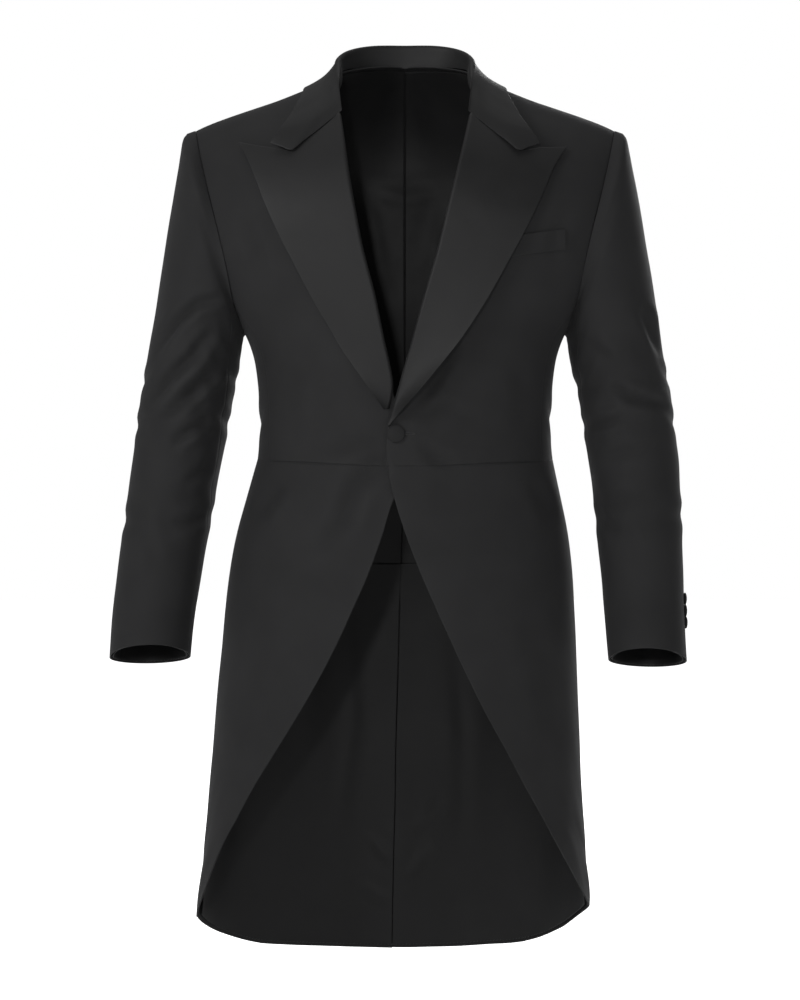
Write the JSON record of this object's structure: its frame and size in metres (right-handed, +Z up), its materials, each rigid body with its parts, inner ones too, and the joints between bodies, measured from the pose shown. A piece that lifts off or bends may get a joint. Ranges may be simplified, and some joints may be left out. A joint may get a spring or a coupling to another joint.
{
  "type": "worn tailcoat with a cutaway front",
  "caption": "Black lined tailcoat in worn shape: satin peak lapels, single-button cutaway fronts, full sleeves and one long rounded skirt with a back vent.",
  "frame": {"origin": "between the shoulders at neck height, where the wearer carries the coat", "axes": "+Z up, -Y the way the wearer faces, +X the wearer's left"},
  "size_m": [0.6722, 0.291, 1.0981],
  "materials": {
    "cloth": "black wool barathea, matt, fine diagonal weave",
    "satin": "black silk satin facing, soft sheen",
    "lining": "black twill lining, low sheen",
    "button": "cloth-covered button, satin sheen"
  },
  "bodies": {
    "root": {"forepart_left": "cloth", "forepart_right": "cloth", "side_body_left": "cloth", "side_body_right": "cloth", "back_left": "cloth", "back_right": "cloth", "skirt_left": "cloth", "skirt_right": "cloth", "top_sleeve_left": "cloth", "top_sleeve_right": "cloth", "under_sleeve_left": "cloth", "under_sleeve_right": "cloth", "lapel_left": "satin", "lapel_right": "satin", "collar": "satin", "back_lining": "lining", "tail_lining_left": "lining", "tail_lining_right": "lining", "cuff_lining_left": "lining", "cuff_lining_right": "lining", "chest_welt": "cloth", "front_button": "button", "cuff_button_left_1": "button", "cuff_button_left_2": "button", "cuff_button_left_3": "button", "cuff_button_right_1": "button", "cuff_button_right_2": "button", "cuff_button_right_3": "button"}
  },
  "joints": []
}
